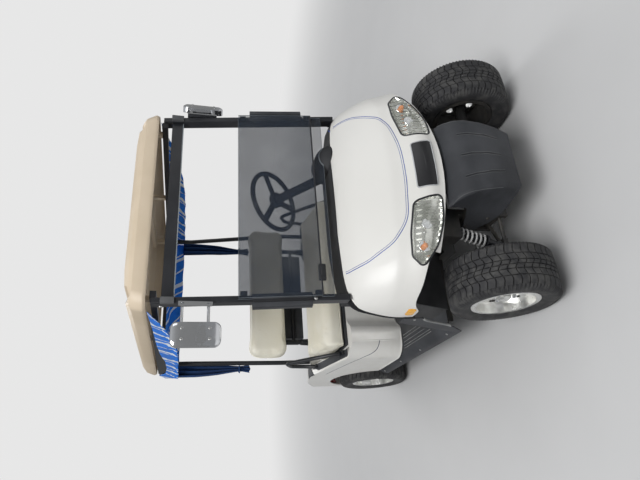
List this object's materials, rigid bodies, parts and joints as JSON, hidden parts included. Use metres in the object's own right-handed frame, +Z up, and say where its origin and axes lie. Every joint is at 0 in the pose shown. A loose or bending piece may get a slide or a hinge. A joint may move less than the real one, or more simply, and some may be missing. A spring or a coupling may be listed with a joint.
{
  "type": "golf cart",
  "caption": "Two-seat golf cart with tan roof, folding smoked windshield, cream bench seat, bag well, striped club cover, steering and free-turning wheels.",
  "frame": {"origin": "on the ground, at the middle of the overall length and width", "axes": "+Z up, front faces -Y, driver's side is +X"},
  "size_m": [1.334, 2.4, 1.7759],
  "materials": {
    "chassis_steel": "satin black paint",
    "floor_mat": "ribbed dark grey mat",
    "black_plastic": "grained black plastic",
    "black_tube": "powder coated black",
    "white_body": "glossy warm white",
    "lamp_lens": "clear lens",
    "red_lens": "red lens",
    "amber_lens": "amber lens",
    "battery_case": "moulded case",
    "spring_steel": "grey spring steel",
    "roof_tan": "moulded tan plastic",
    "smoked_pane": "smoked acrylic",
    "mirror_chrome": "bright chrome",
    "cream_vinyl": "grained cream vinyl",
    "striped_cloth": "blue woven acrylic with white stripes",
    "grip_rubber": "soft black grip",
    "tyre_rubber": "black rubber",
    "rim_alloy": "machined alloy"
  },
  "bodies": {
    "chassis": {"frame": "chassis_steel", "rear_axle": "chassis_steel", "control_arms": "chassis_steel", "steering_column": "chassis_steel", "floor_pan": "floor_mat", "side_sills": "black_plastic", "dash_panel": "black_plastic", "front_bumper": "black_plastic", "pedals": "black_plastic", "bag_well": "black_plastic", "rear_bumper": "black_plastic", "windshield_clips": "black_plastic", "sweater_basket": "black_plastic", "front_struts": "black_tube", "header_bar": "black_tube", "roof_rails": "black_tube", "rear_struts": "black_tube", "seat_frame": "black_tube", "hip_restraints": "black_tube", "front_cowl": "white_body", "rear_body": "white_body", "headlamps": "lamp_lens", "tail_lamps": "red_lens", "marker_lamps": "amber_lens", "battery_pack": "battery_case", "leaf_springs": "spring_steel", "coilovers": "spring_steel", "rear_dampers": "spring_steel", "seat_hinges": "spring_steel", "roof": "roof_tan", "windshield": "smoked_pane", "mirrors": "mirror_chrome", "seat_back": "cream_vinyl", "club_cover": "striped_cloth"},
    "seat": {"seat_cushion": "cream_vinyl", "seat_base": "black_plastic"},
    "hand_wheel": {"steering_wheel": "grip_rubber"},
    "rack": {"steering_rack": "chassis_steel"},
    "left_knuckle": {"knuckle_left": "chassis_steel"},
    "right_knuckle": {"knuckle_right": "chassis_steel"},
    "wheel_front_left": {"tyre_front_left": "tyre_rubber", "rim_front_left": "rim_alloy"},
    "wheel_front_right": {"tyre_front_right": "tyre_rubber", "rim_front_right": "rim_alloy"},
    "wheel_rear_left": {"tyre_rear_left": "tyre_rubber", "rim_rear_left": "rim_alloy"},
    "wheel_rear_right": {"tyre_rear_right": "tyre_rubber", "rim_rear_right": "rim_alloy"}
  },
  "joints": [
    {"name": "steering_turn", "type": "hinge", "parent": "chassis", "child": "hand_wheel", "pos_m": [0.238, -0.3, 1.06], "axis": [0, 0.788, 0.6157], "range_deg": [-450, 450]},
    {"name": "rack_travel", "type": "slide", "parent": "chassis", "child": "rack", "axis": [1, 0, 0], "range_m": [-0.0605, 0.0605]},
    {"name": "left_kingpin", "type": "hinge", "parent": "chassis", "child": "left_knuckle", "pos_m": [0.345, -0.94, 0.23], "axis": [0, 0, 1], "range_deg": [-33.2, 33.2]},
    {"name": "right_kingpin", "type": "hinge", "parent": "chassis", "child": "right_knuckle", "pos_m": [-0.345, -0.94, 0.23], "axis": [0, 0, 1], "range_deg": [-33.2, 33.2]},
    {"name": "seat_lid", "type": "hinge", "parent": "chassis", "child": "seat", "pos_m": [0, 0.47, 0.6047], "axis": [-1, 0, 0], "range_deg": [0, 45]},
    {"name": "front_left_roll", "type": "hinge", "parent": "left_knuckle", "child": "wheel_front_left", "pos_m": [0.479, -0.94, 0.229], "axis": [1, 0, 0], "continuous": true},
    {"name": "front_right_roll", "type": "hinge", "parent": "right_knuckle", "child": "wheel_front_right", "pos_m": [-0.479, -0.94, 0.229], "axis": [1, 0, 0], "continuous": true},
    {"name": "rear_left_roll", "type": "hinge", "parent": "chassis", "child": "wheel_rear_left", "pos_m": [0.49, 0.729, 0.229], "axis": [1, 0, 0], "continuous": true},
    {"name": "rear_right_roll", "type": "hinge", "parent": "chassis", "child": "wheel_rear_right", "pos_m": [-0.49, 0.729, 0.229], "axis": [1, 0, 0], "continuous": true}
  ],
  "couplings": [
    {"joint": "rack_travel", "follows": "steering_turn", "m_per_rad": -0.007663},
    {"joint": "left_kingpin", "follows": "steering_turn", "ratio": 0.073333},
    {"joint": "right_kingpin", "follows": "steering_turn", "ratio": 0.073333}
  ]
}
